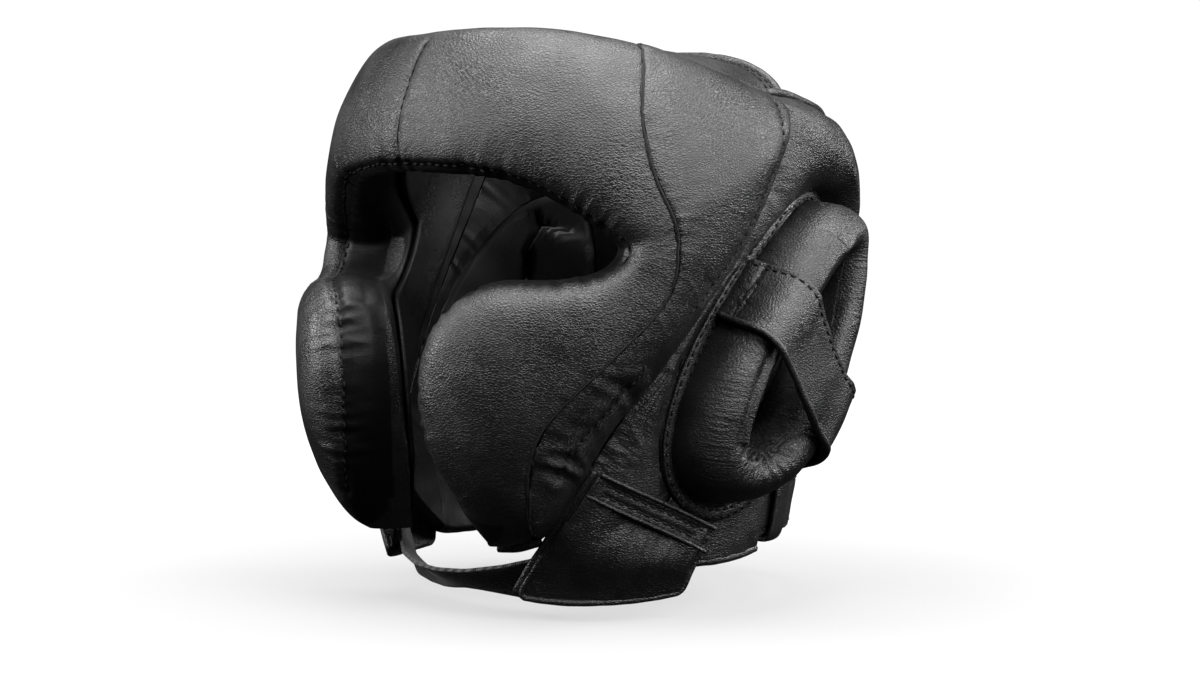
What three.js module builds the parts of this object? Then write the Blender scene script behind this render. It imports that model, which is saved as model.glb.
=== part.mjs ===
// Padded head guard: leather over foam, open at the face and the crown, with ear rings, rear straps and
// a webbing chin strap.
// Millimetres, +Z up. The face looks along -Y and the wearer's left is +X.
// The origin is in the middle of the head hollow, level with the ear holes.
import * as THREE from "three";
import { mergeVertices } from "three/addons/utils/BufferGeometryUtils.js";

// Driving sizes
const GAP = 0.4; // clearance between pieces that are sewn together
const LINING = 2; // lining leather inside the front pad
const HEM = 3; // thickness of the pads at a stitched rim
const RIM_ROLL = 0.16; // share of a front section over which the inner face rolls to the rim
const EDGE_ROLL = 0.2; // the same at the outer edge
const RIM_POWER = 3; // roundness of the front pad towards the rim
const EDGE_POWER = 2.1; // roundness of the front pad towards its outer edge
const FRONT_STEPS = 8; // facets across the front pad
const TEMPLE_STEPS = 5; // facets across a temple pad
const PANEL_STEPS = 5; // facets across a side panel

// Oval hollow for the head: half axes of its level section, rows 50 mm apart
const HOLLOW = table(
  ["height", "side", "front", "back"],
  [-120, 66, 78, 78],
  [-70, 73, 87, 85],
  [-20, 79, 93, 96],
  [30, 81, 91.5, 102],
  [80, 80, 86, 104],
  [130, 70, 74, 88],
);

// Front pad from the middle of the forehead, out round the eye, to the tip of the cheek. Each section runs
// from the rim of the face opening to the outer edge. Angles are from the front, in degrees; depths are
// outward from the hollow; full is the deepest point and fullAt its share of the section; lift is how far
// the inner face rises to meet the outer edge.
const FACE = table(
  ["rimAngle", "rimHeight", "edgeAngle", "edgeHeight", "rimDepth", "full", "fullAt", "edgeDepth", "lift"],
  [0, 70, 0, 127, 17, 25, 0.45, 13, 9],
  [14, 69, 18, 127, 17, 27, 0.45, 13, 9],
  [27, 65, 38, 126, 17, 30, 0.43, 13, 9],
  [37, 58, 57, 121, 17, 33, 0.36, 13, 9],
  [44, 50.5, 76, 113, 18, 36, 0.28, 13, 9],
  [49, 44, 92, 105, 19, 39, 0.2, 13, 8],
  [51, 40.5, 104, 100, 20, 40, 0.17, 12, 5],
  [51, 38, 98, 80, 20, 40, 0.17, 11, 1],
  [50.5, 36, 90, 58, 20, 40, 0.2, 11, 0],
  [49.5, 34, 82, 37, 19, 40, 0.24, 11, 0],
  [47, 31, 72, 15, 18, 39, 0.3, 11, 0],
  [42, 28.5, 62, -7, 17, 39, 0.36, 11, 0],
  [34, 27.5, 52, -28, 17, 40, 0.36, 11, 0],
  [24, 27, 45, -45, 17, 41, 0.34, 11, 0],
  [15.5, 18, 40, -62, 17, 41.5, 0.33, 12, 0],
  [11.5, 2, 34, -74, 17, 40.5, 0.33, 13, 0],
  [10, -20, 30, -77, 17, 37, 0.33, 14, 0],
  [12, -43, 25, -79, 17, 31, 0.33, 15, 0],
  [16.5, -63, 21, -79, 17, 23, 0.35, 16, 0],
);

// Curved side seam between the front pad and a temple pad, rows 25 mm apart
const SEAM = table(
  ["height", "angle"],
  [120, 57.5],
  [95, 55],
  [70, 56],
  [45, 60],
  [20, 58],
  [-5, 46],
  [-30, 34.5],
  [-55, 31],
  [-80, 31],
);
const SEAM_START = 3.06; // front pad row where the seam leaves the top edge
const SEAM_END = 15.4; // and where it leaves the bottom edge

// Side panel from under the cheek, up behind the temple pad, then back along the top to the rear. The outer
// edge of the first rows is the rear edge of the front pad; the inner edge runs round the ear base.
const PANEL = table(
  ["outAngle", "outHeight", "inAngle", "inHeight", "outDepth", "full", "inDepth", "lift"],
  [40, -62, 65.6, -86, 9, 9.5, 8, 0],
  [45, -45, 65.7, -64, 9, 10, 8, 0],
  [52, -28, 62.8, -42, 9, 10.5, 8, 0],
  [62, -7, 65.5, -19, 9, 10.5, 8, 0],
  [72, 15, 73, 4, 9, 10.5, 8, 0],
  [82, 37, 84, 26, 9, 11, 8, 0],
  [90, 58, 95.5, 43, 9, 13, 8, 0],
  [98, 80, 107, 56, 10, 17, 8, 1],
  [104, 100, 119, 63.2, 11, 20, 8, 3],
  [121, 97, 131.6, 55.2, 13.5, 24, 8, 4],
  [130, 95, 133.4, 39, 14.5, 24, 8, 4],
  [138, 92, 134, 22, 13.5, 23, 8, 4],
  [156, 83, 153, -5, 10, 18, 8, 3],
  [172, 80, 172, -12, 10, 17, 8, 3],
);
const PANEL_CORNER = 8; // panel row at the top rear corner of the front pad
const FACE_BOTTOM = 14; // front pad row beside the first panel row
const SEAM_ANGLE = 0.45; // clearance across the rear seam, in degrees

// Ear ring: an oval leaning back, measured on the side of the head
const EAR_BACK = 15; // centre behind the origin
const EAR_HEIGHT = -3;
const EAR_LEAN = 30; // degrees, top towards the rear
const EAR_LONG = 55.5; // half axes of the middle of the ring
const EAR_SHORT = 18.5;
const EAR_TAPER = 0.35; // the ring is narrower at the top by this share
const RING_WIDTH = 27; // across the stuffed ring
const RING_HEIGHT = 27; // it stands off its base by this
const RING_HEM = 2; // its thickness at the stitched edges
const BASE_DEPTH = 7; // outer face of the ear base
const RING_FOOT = BASE_DEPTH + GAP;
const BASE_MARGIN = 4; // base beyond the ring
const BASE_HOLE = 0.72; // share of the ring's inner edge that is open to the ear
const HOLE_HALF = 11; // the hole is at least this wide each side of its middle
const RING_COUNT = 26;

// Lower panel under the ear base, from the side panel back to the nape strap
const LOWER = table(
  ["angle", "high", "low"],
  [66.3, -61, -86.5],
  [72, -66.5, -88],
  [80, -70.3, -88.5],
  [90, -69.8, -88.5],
  [99, -64.8, -87.5],
  [106, -58.5, -86],
);
const LOWER_DEPTH = 7;

// Ear band across the ring, from the front flange to the rear; it lies at the depth given, or on the ring
// where the ring stands higher
const BAND = table(
  ["back", "height", "depth", "width"],
  [-7.5, 24, 8, 27],
  [-5.5, 21.5, 14, 28],
  [-2.5, 18, 22, 28],
  [1, 10, 32, 27],
  [5.2, 0.6, 34.5, 25],
  [10.2, -9, 34.5, 25],
  [15.5, -18, 34.5, 25],
  [21, -26, 32, 26],
  [27, -34, 22, 27],
  [30.5, -39.5, 14, 27],
  [33, -43, 8, 26],
);
const BAND_LEAN = 37; // degrees that the band's width leans from upright
const BAND_THICK = 3.5;
const BAND_LIFT = 1; // clearance over the ring

// Chin tab: a leather flap, from the stitched top edge on the side panel to the free lower edge
const TAB = table(
  ["topAngle", "topHeight", "topDepth", "lowAngle", "lowHeight", "lowDepth"],
  [46, -49, 12.5, 25, -100, 6],
  [53, -55, 12, 36, -102, 7],
  [61, -61, 11.5, 48, -102, 8],
  [69, -67, 11.5, 60, -101, 9],
  [77, -73, 11.5, 70, -99, 10],
);
const TAB_THICK = 4;
const TAB_RIGHT = 0.82; // the flap on the right is shorter by this share
const ANCHOR_WIDTH = 10; // stitched band along the top of the tab
const ANCHOR_THICK = 3.5;

// Chin strap: webbing from one tab under the chin to the other; tilt is from upright, in degrees
const STRAP = table(
  ["angle", "height", "depth", "tilt"],
  [50, -86, 6.6, 5],
  [41, -90, 3.4, 10],
  [30, -94, -3, 38],
  [10, -96, -4, 62],
  [-10, -96, -4, 62],
  [-30, -95, -3, 38],
  [-41, -90, 3.4, 10],
  [-50, -86, 6.6, 5],
);
const STRAP_WIDTH = 25;
const STRAP_THICK = 2;

// Crown strap: part of a flattened dome
const CROWN_SIDE = 72.6; // half axes of the dome at its foot
const CROWN_FRONT = 82;
const CROWN_BACK = 118;
const CROWN_FOOT = 92;
const CROWN_RISE = 31;
const CROWN_POWER = 2.5; // above 2 the dome is flatter than an ellipsoid
const CROWN_FROM = -34; // front and rear edges of the strap
const CROWN_TO = 46;
const CROWN_THICK = 4;

// Straps at the back
const REAR_FROM = 160;
const REAR_LOW = 20;
const REAR_HIGH = 58;
const REAR_DEPTH = 17.9;
const NAPE_FROM = 106.4;
const NAPE_LOW = -82;
const NAPE_HIGH = -58;
const NAPE_DEPTH = 1.5;
const BACK_STRAP_THICK = 4;
const KEEPER_FROM = 112;
const KEEPER_TO = 121;
const KEEPER_THICK = 3;

// Rolled and folded edges
const BINDING_RADIUS = 2.4;
const CHEEK_HEM_RADIUS = 2.6;
const CHEEK_HEM_GAP = 0.5; // below the sewn edge of the cheek

// Rows of a table as objects with the named columns
function table(columns, ...rows) {
  return rows.map((row) => Object.fromEntries(columns.map((name, i) => [name, row[i]])));
}

// Smooth value of every column at a row position between two rows
function along(rows, position) {
  const last = rows.length - 1;
  const start = Math.min(Math.max(Math.floor(position), 0), last - 1);
  const t = Math.min(Math.max(position - start, 0), 1);
  const pick = [start - 1, start, start + 1, start + 2].map((i) => rows[Math.min(Math.max(i, 0), last)]);
  const result = {};
  for (const name of Object.keys(rows[0])) {
    const [a, b, c, d] = pick.map((row) => row[name]);
    const curve = 2 * a - 5 * b + 4 * c - d + (3 * b - a - 3 * c + d) * t;
    result[name] = b + 0.5 * t * (c - a + curve * t);
  }
  return result;
}

// Row position at which a column of evenly spaced rows has a value
function position(rows, name, value) {
  const step = rows[1][name] - rows[0][name];
  return Math.min(Math.max((value - rows[0][name]) / step, 0), rows.length - 1);
}

const mix = (from, to, share) => from + (to - from) * share;
const radians = (degrees) => (degrees * Math.PI) / 180;
const eased = (i, count) => (1 - Math.cos((Math.PI * i) / count)) / 2;

// Quarter of a rounded outline: 0 to 1, steep at first
const swell = (x, power) => Math.pow(1 - Math.pow(1 - x, power), 1 / power);

// Point at an angle and height, a depth outward from the hollow
function onHead(angle, height, depth) {
  const oval = along(HOLLOW, position(HOLLOW, "height", height));
  const sine = Math.sin(radians(angle));
  const cosine = Math.cos(radians(angle));
  const length = cosine > 0 ? oval.front : oval.back;
  const reach = 1 / Math.hypot(sine / oval.side, cosine / length);
  const normal = new THREE.Vector3((reach * sine) / oval.side ** 2, (-reach * cosine) / length ** 2, 0);
  return new THREE.Vector3(reach * sine, -reach * cosine, height).addScaledVector(normal.normalize(), depth);
}

// Angle of a point on the side of the hollow that lies a distance behind the origin
function sideAngle(back, height) {
  const oval = along(HOLLOW, position(HOLLOW, "height", height));
  const length = back < 0 ? oval.front : oval.back;
  const side = oval.side * Math.sqrt(Math.max(1 - (back / length) ** 2, 0.01));
  return THREE.MathUtils.radToDeg(Math.atan2(side, -back));
}
const onSide = (back, height, depth) => onHead(sideAngle(back, height), height, depth);

// Closed skin over a row of sections. Each section has points on its outer and its inner face; the two
// faces, the long edges and the ends are joined. A looped skin has no ends.
function skin(sections, looped = false) {
  const count = sections[0].outer.length;
  const points = sections.flatMap((s) => [...s.outer, ...s.inner]);
  const outer = (i, j) => (i % sections.length) * 2 * count + j;
  const inner = (i, j) => outer(i, j) + count;
  const index = [];
  const quad = (a, b, c, d) => index.push(a, b, c, a, c, d);
  const spans = looped ? sections.length : sections.length - 1;
  for (let i = 0; i < spans; i++) {
    for (let j = 0; j < count - 1; j++) {
      quad(outer(i, j), outer(i + 1, j), outer(i + 1, j + 1), outer(i, j + 1));
      quad(inner(i, j), inner(i, j + 1), inner(i + 1, j + 1), inner(i + 1, j));
    }
    quad(outer(i, 0), inner(i, 0), inner(i + 1, 0), outer(i + 1, 0));
    quad(outer(i, count - 1), outer(i + 1, count - 1), inner(i + 1, count - 1), inner(i, count - 1));
  }
  if (!looped) {
    const end = sections.length - 1;
    for (let j = 0; j < count - 1; j++) {
      quad(outer(0, j), outer(0, j + 1), inner(0, j + 1), inner(0, j));
      quad(outer(end, j), inner(end, j), inner(end, j + 1), outer(end, j + 1));
    }
  }
  const geometry = new THREE.BufferGeometry().setFromPoints(points);
  geometry.setIndex(index);
  return facingOut(geometry);
}

// The same body with its faces turned outward
function facingOut(geometry) {
  const at = geometry.getAttribute("position");
  const index = Array.from(geometry.getIndex().array);
  const corner = [0, 1, 2].map(() => new THREE.Vector3());
  let volume = 0;
  for (let i = 0; i < index.length; i += 3) {
    corner.forEach((v, k) => v.fromBufferAttribute(at, index[i + k]));
    volume += corner[0].dot(corner[1].clone().cross(corner[2]));
  }
  if (volume < 0) {
    for (let i = 0; i < index.length; i += 3) {
      [index[i], index[i + 1]] = [index[i + 1], index[i]];
    }
    geometry.setIndex(index);
  }
  return geometry;
}

// The matching body on the other side of the head
const mirrored = (geometry) => facingOut(geometry.clone().scale(-1, 1, 1));
const mirroredSection = (s) => ({
  outer: s.outer.map((p) => new THREE.Vector3(-p.x, p.y, p.z)),
  inner: s.inner.map((p) => new THREE.Vector3(-p.x, p.y, p.z)),
});

// Front pad and temple pads
function faceOuter(row, share) {
  if (share < row.fullAt) {
    return mix(row.rimDepth, row.full, swell(share / row.fullAt, RIM_POWER));
  }
  return mix(row.edgeDepth, row.full, swell((1 - share) / (1 - row.fullAt), EDGE_POWER));
}

function faceInner(row, share) {
  const rim = (row.rimDepth - HEM) * (1 - swell(Math.min(share / RIM_ROLL, 1), 2));
  const edge = row.lift * (1 - swell(Math.min((1 - share) / EDGE_ROLL, 1), 2));
  return Math.max(rim, edge);
}

function facePoint(row, share, depth) {
  return onHead(mix(row.rimAngle, row.edgeAngle, share), mix(row.rimHeight, row.edgeHeight, share), depth);
}

function faceSection(row, from, to, steps) {
  const shares = Array.from({ length: steps + 1 }, (_, i) => mix(from, to, eased(i, steps)));
  return {
    outer: shares.map((share) => facePoint(row, share, faceOuter(row, share))),
    inner: shares.map((share) => facePoint(row, share, faceInner(row, share))),
  };
}

// Share of a section at which the side seam crosses it, 1 where it does not
function seamShare(row) {
  const behind = (share) => {
    const height = mix(row.rimHeight, row.edgeHeight, share);
    const seam = along(SEAM, position(SEAM, "height", height)).angle;
    return mix(row.rimAngle, row.edgeAngle, share) - seam;
  };
  if (behind(1) <= 0) return 1;
  let low = 0;
  let high = 1;
  for (let i = 0; i < 40; i++) {
    const middle = (low + high) / 2;
    if (behind(middle) > 0) high = middle;
    else low = middle;
  }
  return low;
}

// Half the clearance across the side seam as a share of a section
function seamClearance(row) {
  const rim = facePoint(row, 0, 0);
  return GAP / rim.distanceTo(facePoint(row, 1, 0));
}

function facePositions() {
  const list = [];
  for (let p = 0; p < FACE.length - 1; p += 0.5) {
    if (p > 0 && Math.abs(p - 3) < 0.1) list.push(p, SEAM_START, 3.12, 3.25);
    else if (p === 15) list.push(p, 15.25, SEAM_END);
    else list.push(p);
  }
  list.push(FACE.length - 1);
  return list;
}

function frontPad() {
  const half = facePositions().map((p) => {
    const row = along(FACE, p);
    const seam = seamShare(row);
    return faceSection(row, 0, seam < 1 ? seam - seamClearance(row) : 1, FRONT_STEPS);
  });
  const right = half.slice(1).reverse().map(mirroredSection);
  return skin([...right, ...half]);
}

function templePad() {
  const rows = facePositions().filter((p) => p >= SEAM_START && p <= SEAM_END).map((p) => along(FACE, p));
  return skin(rows.map((row) => faceSection(row, seamShare(row) + seamClearance(row), 1, TEMPLE_STEPS)));
}

function frontLining() {
  const half = [];
  for (let p = 0; p <= FACE.length - 2; p++) {
    const row = along(FACE, p);
    const shares = Array.from({ length: 5 }, (_, i) => mix(0.14, 0.82, i / 4));
    half.push({
      outer: shares.map((share) => facePoint(row, share, -2 * GAP)),
      inner: shares.map((share) => facePoint(row, share, -2 * GAP - LINING)),
    });
  }
  const right = half.slice(1).reverse().map(mirroredSection);
  return skin([...right, ...half]);
}

// Side panels
function panelRow(p) {
  const row = along(PANEL, p);
  if (p <= PANEL_CORNER) {
    const face = along(FACE, FACE_BOTTOM - p);
    row.outAngle = face.edgeAngle + SEAM_ANGLE;
    row.outHeight = face.edgeHeight;
  }
  return row;
}

function sidePanel() {
  const sections = [];
  for (let p = 0; p <= PANEL.length - 1; p += 0.5) {
    const row = panelRow(p);
    const shares = Array.from({ length: PANEL_STEPS + 1 }, (_, i) => eased(i, PANEL_STEPS));
    const place = (share, depth) =>
      onHead(mix(row.outAngle, row.inAngle, share), mix(row.outHeight, row.inHeight, share), depth);
    const bulge = (share) => Math.sqrt(1 - (2 * share - 1) ** 2);
    sections.push({
      outer: shares.map((s) => {
        const edge = mix(row.outDepth, row.inDepth, s);
        return place(s, mix(edge, Math.max(row.full, edge), bulge(s)));
      }),
      inner: shares.map((s) => place(s, row.lift * (1 - bulge(s)))),
    });
  }
  return skin(sections);
}

// Distance behind the origin and height at a clock position round the ear, on the oval grown by a distance
function earPlace(clock, grow) {
  const short = EAR_SHORT * (1 - EAR_TAPER * Math.cos(clock));
  const across = Math.max(short + grow, HOLE_HALF) * Math.sin(clock);
  const up = (EAR_LONG + grow) * Math.cos(clock);
  const lean = radians(EAR_LEAN);
  return {
    back: EAR_BACK + across * Math.cos(lean) + up * Math.sin(lean),
    height: EAR_HEIGHT - across * Math.sin(lean) + up * Math.cos(lean),
  };
}

function earPoint(clock, grow, depth) {
  const place = earPlace(clock, grow);
  return onSide(place.back, place.height, depth);
}

// Outer face of the ring at a share of its half width from the middle
const ringFace = (share) => RING_FOOT + RING_HEM + (RING_HEIGHT - RING_HEM) * Math.sqrt(1 - share * share);

function earRing() {
  const sections = [];
  const steps = 6;
  for (let i = 0; i < RING_COUNT; i++) {
    const clock = (2 * Math.PI * i) / RING_COUNT;
    const shares = Array.from({ length: steps + 1 }, (_, j) => {
      return Math.cos((Math.PI * j) / steps);
    });
    sections.push({
      outer: shares.map((share) => earPoint(clock, (share * RING_WIDTH) / 2, ringFace(share))),
      inner: shares.map((share) => earPoint(clock, (share * RING_WIDTH) / 2, RING_FOOT)),
    });
  }
  return skin(sections, true);
}

// Depth of the ring's outer face at a place on the side of the head, 0 beside the ring
function ringDepth(back, height) {
  let nearest = Infinity;
  for (let i = 0; i < 120; i++) {
    const place = earPlace((2 * Math.PI * i) / 120, 0);
    nearest = Math.min(nearest, Math.hypot(back - place.back, height - place.height));
  }
  const share = nearest / (RING_WIDTH / 2);
  return share < 1 ? ringFace(share) : 0;
}

function earBase() {
  const sections = [];
  const inside = -RING_WIDTH / 2;
  for (let i = 0; i < RING_COUNT; i++) {
    const clock = (2 * Math.PI * i) / RING_COUNT;
    const outerGrow = RING_WIDTH / 2 + BASE_MARGIN;
    const hole = (EAR_SHORT + inside) * (BASE_HOLE - 1) + inside;
    const grows = [outerGrow, mix(outerGrow, hole, 0.5), hole];
    sections.push({
      outer: grows.map((grow) => earPoint(clock, grow, BASE_DEPTH)),
      inner: grows.map((grow) => earPoint(clock, grow, 1)),
    });
  }
  return skin(sections, true);
}

function lowerPanel() {
  const sections = [];
  for (let p = 0; p <= LOWER.length - 1; p += 0.5) {
    const row = along(LOWER, p);
    const heights = [row.high, (row.high + row.low) / 2, row.low];
    sections.push({
      outer: heights.map((height) => onHead(row.angle, height, LOWER_DEPTH)),
      inner: heights.map((height) => onHead(row.angle, height, 1)),
    });
  }
  return skin(sections);
}

function earBand() {
  const sections = [];
  const lean = radians(BAND_LEAN);
  for (let p = 0; p <= BAND.length - 1; p += 0.5) {
    const row = along(BAND, p);
    const shares = [-0.5, -0.25, 0, 0.25, 0.5];
    const place = (share, extra) => {
      const back = row.back + share * row.width * Math.sin(lean);
      const height = row.height + share * row.width * Math.cos(lean);
      return onSide(back, height, Math.max(row.depth, ringDepth(back, height) + BAND_LIFT) + extra);
    };
    sections.push({
      outer: shares.map((share) => place(share, BAND_THICK)),
      inner: shares.map((share) => place(share, 0)),
    });
  }
  return skin(sections);
}

// Chin tab with its stitched band, and the webbing strap
function tabPoint(row, share, extra) {
  return onHead(
    mix(row.topAngle, row.lowAngle, share),
    mix(row.topHeight, row.lowHeight, share),
    mix(row.topDepth, row.lowDepth, share) + extra,
  );
}

function chinTab(length) {
  const sections = [];
  for (let p = 0; p <= TAB.length - 1; p += 0.5) {
    const row = along(TAB, p);
    const shares = [0, 0.2, 0.4, 0.6, 0.8, 1].map((share) => share * length);
    sections.push({
      outer: shares.map((share) => tabPoint(row, share, TAB_THICK)),
      inner: shares.map((share) => tabPoint(row, share, 0)),
    });
  }
  return skin(sections);
}

function chinAnchor() {
  const sections = [];
  for (let p = 0; p <= TAB.length - 1; p += 0.5) {
    const row = along(TAB, p);
    const span = ANCHOR_WIDTH / tabPoint(row, 0, 0).distanceTo(tabPoint(row, 1, 0));
    const shares = [0, span / 2, span];
    sections.push({
      outer: shares.map((share) => tabPoint(row, share, TAB_THICK + GAP + ANCHOR_THICK)),
      inner: shares.map((share) => tabPoint(row, share, TAB_THICK + GAP)),
    });
  }
  return skin(sections);
}

function chinStrap() {
  const sections = [];
  for (let p = 0; p <= STRAP.length - 1; p += 0.5) {
    const row = along(STRAP, p);
    const up = STRAP_WIDTH * Math.cos(radians(row.tilt));
    const out = STRAP_WIDTH * Math.sin(radians(row.tilt));
    const fall = STRAP_THICK * Math.sin(radians(row.tilt));
    const lift = STRAP_THICK * Math.cos(radians(row.tilt));
    const shares = [0.5, 0, -0.5];
    const place = (share, face) =>
      onHead(row.angle, row.height + share * up - face * fall, row.depth + share * out + face * lift);
    sections.push({
      outer: shares.map((share) => place(share, 1)),
      inner: shares.map((share) => place(share, 0)),
    });
  }
  return skin(sections);
}

function crownStrap() {
  const sections = [];
  const place = (turn, y, depth) => {
    const foot = Math.sqrt(1 - (y / (y < 0 ? CROWN_FRONT : CROWN_BACK)) ** 2);
    const side = Math.sin(turn) * foot;
    const level = Math.min(Math.hypot(side, Math.sqrt(1 - foot * foot)), 1);
    const rise = Math.pow(1 - Math.pow(level, CROWN_POWER), 1 / CROWN_POWER);
    return new THREE.Vector3(
      side * (CROWN_SIDE - depth),
      y,
      CROWN_FOOT + rise * (CROWN_RISE - depth),
    );
  };
  for (let i = 0; i <= 16; i++) {
    const turn = mix(-Math.PI / 2, Math.PI / 2, i / 16);
    const ys = [0, 0.25, 0.5, 0.75, 1].map((share) => mix(CROWN_FROM, CROWN_TO, share));
    sections.push({
      outer: ys.map((y) => place(turn, y, 0)),
      inner: ys.map((y) => place(turn, y, CROWN_THICK)),
    });
  }
  return skin(sections);
}

// Band round the back of the head between two heights, from one side to the other
function backBand(from, low, high, depth) {
  const sections = [];
  const count = Math.round((180 - from) / 7);
  for (let i = -count; i <= count; i++) {
    const angle = 180 + ((180 - from) * i) / count;
    const heights = [high, (high + low) / 2, low];
    sections.push({
      outer: heights.map((height) => onHead(angle, height, depth + BACK_STRAP_THICK)),
      inner: heights.map((height) => onHead(angle, height, depth)),
    });
  }
  return skin(sections);
}

function napeKeeper() {
  const low = NAPE_LOW - GAP;
  const high = NAPE_HIGH + GAP;
  const near = NAPE_DEPTH - GAP;
  const far = NAPE_DEPTH + BACK_STRAP_THICK + GAP;
  const middle = (low + high) / 2;
  const round = [
    { height: low, depth: near, up: -1, out: -1 },
    { height: low, depth: far, up: -1, out: 1 },
    { height: middle, depth: far, up: 0, out: 1 },
    { height: high, depth: far, up: 1, out: 1 },
    { height: high, depth: near, up: 1, out: -1 },
    { height: middle, depth: near, up: 0, out: -1 },
  ];
  const angles = [KEEPER_FROM, (KEEPER_FROM + KEEPER_TO) / 2, KEEPER_TO];
  const sections = round.map((c) => ({
    outer: angles.map((a) => onHead(a, c.height + c.up * KEEPER_THICK, c.depth + c.out * KEEPER_THICK)),
    inner: angles.map((a) => onHead(a, c.height, c.depth)),
  }));
  return skin(sections, true);
}

// Round edge along a path
function rolledEdge(points, radius) {
  const path = new THREE.CatmullRomCurve3(points);
  const outline = new THREE.Shape();
  const sides = 6;
  for (let i = 0; i < sides; i++) {
    const turn = (2 * Math.PI * i) / sides;
    if (i === 0) outline.moveTo(radius * Math.cos(turn), radius * Math.sin(turn));
    else outline.lineTo(radius * Math.cos(turn), radius * Math.sin(turn));
  }
  const roll = new THREE.ExtrudeGeometry(outline, { steps: 14, bevelEnabled: false, extrudePath: path });
  roll.deleteAttribute("normal");
  roll.deleteAttribute("uv");
  return facingOut(mergeVertices(roll, 0.001));
}

function rearBinding() {
  const points = [];
  for (let p = PANEL_CORNER; p <= PANEL.length - 1; p += 0.5) {
    const row = panelRow(p);
    const depth = (row.outDepth + row.lift) / 2;
    points.push(onHead(row.outAngle, row.outHeight + BINDING_RADIUS + GAP, depth));
  }
  return rolledEdge(points, BINDING_RADIUS);
}

function cheekBinding() {
  const points = [];
  for (let p = 15.5; p <= 18; p += 0.5) {
    const row = along(FACE, p);
    const height = row.edgeHeight - CHEEK_HEM_RADIUS - CHEEK_HEM_GAP;
    points.push(onHead(row.edgeAngle, height, row.edgeDepth * 0.7));
  }
  return rolledEdge(points, CHEEK_HEM_RADIUS);
}

// Materials
const leather = new THREE.MeshStandardMaterial({ name: "leather", color: 0x1c1c1d, roughness: 0.5 });
const lining = new THREE.MeshStandardMaterial({ name: "lining", color: 0x232325, roughness: 0.6 });
const webbing = new THREE.MeshStandardMaterial({ name: "webbing", color: 0x141415, roughness: 0.9 });

const guard = new THREE.Group();
guard.name = "head_guard";
function add(name, geometry, material) {
  const mesh = new THREE.Mesh(geometry, material);
  mesh.name = name;
  guard.add(mesh);
}
function addPair(name, geometry, material) {
  add(`${name}_left`, geometry, material);
  add(`${name}_right`, mirrored(geometry), material);
}

add("front_pad", frontPad(), leather);
add("front_lining", frontLining(), lining);
addPair("temple_pad", templePad(), leather);
addPair("side_panel", sidePanel(), leather);
addPair("ear_base", earBase(), leather);
addPair("ear_ring", earRing(), leather);
addPair("lower_panel", lowerPanel(), leather);
addPair("ear_band", earBand(), leather);
add("chin_tab_left", chinTab(1), leather);
add("chin_tab_right", mirrored(chinTab(TAB_RIGHT)), leather);
addPair("chin_anchor", chinAnchor(), leather);
add("chin_strap", chinStrap(), webbing);
add("crown_strap", crownStrap(), leather);
add("rear_strap", backBand(REAR_FROM, REAR_LOW, REAR_HIGH, REAR_DEPTH), leather);
add("nape_strap", backBand(NAPE_FROM, NAPE_LOW, NAPE_HIGH, NAPE_DEPTH), leather);
add("nape_keeper", napeKeeper(), leather);
addPair("rear_binding", rearBinding(), leather);
addPair("cheek_binding", cheekBinding(), leather);

export default guard;
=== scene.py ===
import math
import bmesh
import bpy
import numpy as np
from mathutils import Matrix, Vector, noise
from mathutils.bvhtree import BVHTree


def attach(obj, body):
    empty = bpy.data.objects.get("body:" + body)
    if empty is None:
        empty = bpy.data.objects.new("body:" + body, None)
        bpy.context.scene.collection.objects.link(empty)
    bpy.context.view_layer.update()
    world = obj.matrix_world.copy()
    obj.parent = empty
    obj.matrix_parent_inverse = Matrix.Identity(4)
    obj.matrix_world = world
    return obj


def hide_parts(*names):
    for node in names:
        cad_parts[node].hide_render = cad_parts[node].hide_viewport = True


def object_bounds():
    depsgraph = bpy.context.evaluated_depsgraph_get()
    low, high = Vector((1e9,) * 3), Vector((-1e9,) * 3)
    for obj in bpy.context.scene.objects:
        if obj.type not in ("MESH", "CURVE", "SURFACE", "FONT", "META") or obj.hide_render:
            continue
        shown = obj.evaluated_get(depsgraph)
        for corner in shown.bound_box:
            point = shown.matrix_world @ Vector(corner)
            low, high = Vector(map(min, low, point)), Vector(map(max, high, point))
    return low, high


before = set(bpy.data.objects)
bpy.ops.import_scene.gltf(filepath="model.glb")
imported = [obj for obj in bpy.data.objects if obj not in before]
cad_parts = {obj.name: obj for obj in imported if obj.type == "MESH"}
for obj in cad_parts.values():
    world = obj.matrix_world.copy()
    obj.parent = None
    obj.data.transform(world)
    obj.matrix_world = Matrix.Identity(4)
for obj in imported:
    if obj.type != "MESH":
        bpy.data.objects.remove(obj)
cad_low, cad_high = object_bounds()

# Studio: a white paper floor just under the guard, and softboxes overhead, in front, at the sides and behind.
# The backdrop is white, and the room sends little light back on the leather.
PICTURE_WIDTH = 1200
CAMERA_TURN = math.radians(47)
CAMERA_RISE = math.radians(3)
CAMERA_DISTANCE = 1.1
CAMERA_SENSOR = 36
CAMERA_LENS = 76.6
CAMERA_NEAREST = 0.05
FRAMING_SHIFT = 3 / PICTURE_WIDTH
FLOOR_SIZE = 14
FLOOR_CLEARANCE = 0.004
PAPER_COLOUR = (0.085, 0.085, 0.085, 1)
PAPER_ROUGHNESS = 0.9
PAPER_NEAR = 0.14
PAPER_FAR = 0.6
PAINTED_GLOW_NEAR = 0.62
ROOM_LIGHT = 0.02
BACKDROP_LIGHT = 1.05


def new_finish(name):
    """A new material, its nodes, its links and its surface."""
    material = bpy.data.materials.new(name)
    material.use_nodes = True
    nodes = material.node_tree.nodes
    return material, nodes, material.node_tree.links, nodes["Principled BSDF"]


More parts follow.
